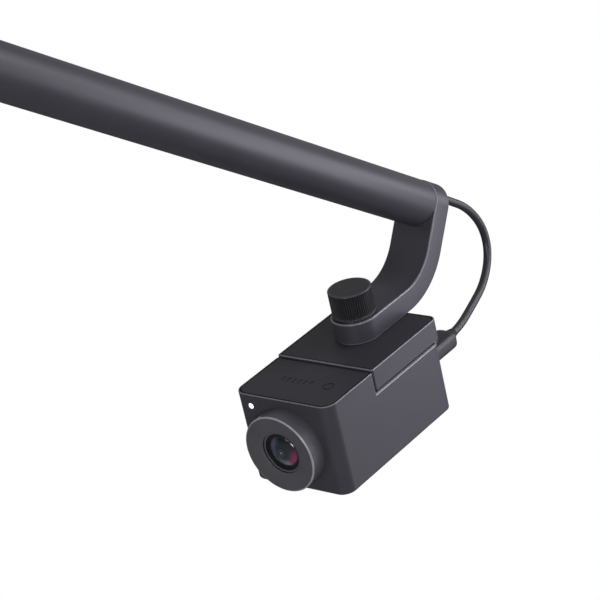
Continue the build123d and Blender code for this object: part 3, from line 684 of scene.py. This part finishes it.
# ---------------------------------------------------------------- lens
def make_lens():
    """The ring with its rounded rim and stepped throat, the threaded retainer and the front element."""
    low, high = head_box("lens_ring")
    outer = (high.x - low.x) / 2
    centre = Vector(((low.x + high.x) / 2, low.y, (low.z + high.z) / 2))
    depth = head_box("housing")[0].y - low.y
    rim, dish, mouth, lip = 0.55 * MM, 1.2 * MM, 9.2 * MM, 0.25 * MM
    ledge, throat = 8.3 * MM, 7.55 * MM
    neck, neck_r = high.y - low.y, 11.9 * MM
    step, step_back = 0.8 * MM, 1.7 * MM
    profile = [(outer, depth)] + round_arc(outer - rim, rim, rim, 0, -90, 6)
    profile += round_arc(mouth + lip, dish + lip, lip, -90, -180, 4)
    profile += [
        (mouth, dish + step), (ledge + 0.08 * MM, dish + step), (ledge, dish + step + 0.08 * MM),
        (ledge, dish + step_back), (throat, dish + step_back), (throat, neck), (neck_r, neck),
        (neck_r, depth),
    ]
    # the rounded rim gets a painted highlight and the walls of the throat painted shade
    rim_strips, inner_walls = range(1, 7), (12, 15, 16, 17)
    ring = turned(profile, centre, AXIS_Y, ACROSS, 192, True, rim_strips, inner_walls)
    piece("lens_ring_turned", finished(ring, "lens_ring", 30.0), "lens_ring")

    low, high = head_box("lens_retainer")
    outer = (high.x - low.x) / 2
    glass_low, glass_high = head_box("front_lens")
    glass = (glass_high.x - glass_low.x) / 2
    inner = glass + 0.05 * MM
    length = high.y - low.y
    centre.y = low.y
    profile = [(outer, length), (outer, 0.06 * MM), (outer - 0.06 * MM, 0.0), (inner + 0.12 * MM, 0.0)]
    grooves = 3
    for i in range(grooves):
        start = 0.12 * MM + (length - 0.24 * MM) * i / grooves
        pitch = (length - 0.24 * MM) / grooves
        profile += [(inner, start), (inner, start + 0.45 * pitch), (inner + 0.12 * MM, start + 0.6 * pitch)]
    profile += [(inner, length)]
    retainer = turned(profile, centre, AXIS_Y, ACROSS, 128, joined=True)
    piece("lens_retainer_turned", finished(retainer, "lens_retainer", 25.0), "lens_retainer")

    # the element is a spherical cap on a short ground rim
    flat = 0.35 * MM
    rise = 1.9 * MM
    sphere = (glass ** 2 + rise ** 2) / (2 * rise)
    steps = 20
    profile = []
    for i in range(1, steps + 1):
        r = (glass - 0.12 * MM) * i / steps
        profile.append((r, sphere - sqrt(sphere ** 2 - r ** 2)))
    profile += [(glass, rise + 0.10 * MM), (glass, rise + flat), (glass, glass_high.y - glass_low.y)]
    centre.y = glass_low.y
    lens = turned(profile, centre, AXIS_Y, ACROSS, 128)
    piece("front_element", finished(lens, "front_lens", 30.0), "front_lens")


def make_light_pipe():
    """The status light: a short rod with a low domed end in the housing's front."""
    low, high = head_box("light_pipe")
    radius, length = (high.x - low.x) / 2, high.y - low.y
    dome = 0.18 * MM
    profile = [(radius * sin(radians(a)), dome * (1 - cos(radians(a)))) for a in (8, 25, 45, 65, 80, 90)]
    profile += [(radius, length)]
    centre = Vector(((low.x + high.x) / 2, low.y, (low.z + high.z) / 2))
    pipe = turned(profile, centre, AXIS_Y, ACROSS, 48)
    piece("light_pipe_domed", finished(pipe, "light_pipe"), "light_pipe")


# ---------------------------------------------------------------- stage and light
# name, direction from the head, distance, width, height, power in watts, colour
LIGHTS = (
    ("key", (-0.40, -0.78, 0.49), 1.3, 0.45, 0.45, 2.3, (0.90, 0.88, 1.0)),
    ("key_low", (-0.66, -0.74, -0.02), 0.8, 0.35, 0.35, 0.40, (0.92, 0.88, 1.0)),
    ("side_near", (-0.75, -0.55, 0.35), 0.32, 0.16, 0.16, 0.34, (0.90, 0.86, 1.0)),
    ("top_near", (-0.45, -0.25, 0.85), 0.50, 0.20, 0.20, 0.20, (0.92, 0.90, 1.0)),
    ("soft_top", (-0.95, 0.10, 0.60), 1.3, 0.60, 0.60, 3.3, (0.92, 0.88, 1.0)),
    ("edge_strip", (-0.67, -0.35, 0.65), 1.2, 0.16, 0.30, 1.2, (0.97, 0.96, 1.0)),
    ("edge_top", (-0.42, -0.18, 0.89), 1.2, 0.16, 0.16, 1.0, (0.97, 0.96, 1.0)),
    ("camera_side", (-0.78, 0.62, 0.04), 1.2, 0.20, 0.20, 2.1, (1.0, 0.96, 0.98)),
    ("lens_side", (0.10, 0.95, -0.20), 1.2, 0.40, 0.40, 0.6, (0.95, 0.95, 1.0)),
    ("lens_low", (-0.30, 0.85, -0.45), 1.0, 0.30, 0.30, 3.5, (0.95, 0.95, 1.0)),
    ("corner", (-0.26, 0.465, -0.845), 0.9, 0.10, 0.35, 6.0, (1.0, 0.94, 0.97)),
)
AMBIENT = 0.30


def area_light(name, direction, distance, width, height, power, colour):
    """Soft rectangular light, aimed at the head."""
    data = bpy.data.lights.new(name, "AREA")
    data.shape = "RECTANGLE"
    data.size, data.size_y = width, height
    data.energy = power
    data.color = colour
    light = bpy.data.objects.new(name, data)
    direction = Vector(direction).normalized()
    light.location = head_origin + direction * distance
    light.rotation_mode = "QUATERNION"
    light.rotation_quaternion = (-direction).to_track_quat("-Z", "Y")
    light.visible_camera = False
    scene.collection.objects.link(light)


def white_to_the_camera(tree, lit, target):
    """Plain white where the camera looks past the object; the object itself gets the other shader."""
    white = tree.nodes.new("ShaderNodeEmission")
    white.inputs["Color"].default_value = (1, 1, 1, 1)
    path = tree.nodes.new("ShaderNodeLightPath")
    mix = tree.nodes.new("ShaderNodeMixShader")
    tree.links.new(path.outputs["Is Camera Ray"], mix.inputs["Fac"])
    tree.links.new(lit.outputs[0], mix.inputs[1])
    tree.links.new(white.outputs[0], mix.inputs[2])
    tree.links.new(mix.outputs[0], target)


def make_world():
    world = bpy.data.worlds.new("studio")
    scene.world = world
    world.use_nodes = True
    tree = world.node_tree
    tree.nodes.clear()
    out = tree.nodes.new("ShaderNodeOutputWorld")
    dim = tree.nodes.new("ShaderNodeBackground")
    dim.inputs["Color"].default_value = (0.94, 0.93, 1.0, 1)
    dim.inputs["Strength"].default_value = AMBIENT
    white_to_the_camera(tree, dim, out.inputs["Surface"])
    scene.view_settings.view_transform = "Standard"


def make_floor():
    """Plain pale floor well below the head."""
    bm = bmesh.new()
    bmesh.ops.create_circle(bm, cap_ends=True, segments=96, radius=8.0)
    bm.transform(Matrix.Translation((0, 0, cad_low.z - 0.45)))
    floor = bpy.data.objects.new("floor", finished(bm, "floor"))
    scene.collection.objects.link(floor)
    material = bpy.data.materials.new("pale_floor")
    material.use_nodes = True
    tree = material.node_tree
    tree.nodes.clear()
    out = tree.nodes.new("ShaderNodeOutputMaterial")
    pale = tree.nodes.new("ShaderNodeBsdfDiffuse")
    pale.inputs["Color"].default_value = (0.30, 0.30, 0.31, 1)
    white_to_the_camera(tree, pale, out.inputs["Surface"])
    floor.data.materials.append(material)


def make_stage():
    make_world()
    make_floor()
    for light in LIGHTS:
        area_light(*light)


# ---------------------------------------------------------------- making
make_camera()
make_materials()
(cable_up, upper_line), (cable_down, lower_line) = make_cable_loop()
plug_pieces = [*make_plug(), nodes["plug_shell"]]
make_arm_tube()
make_strap()
make_knob()
make_lens()
make_light_pipe()
for edged, width in EDGES_MM.items():
    broken_edges(edged, width)
make_stage()
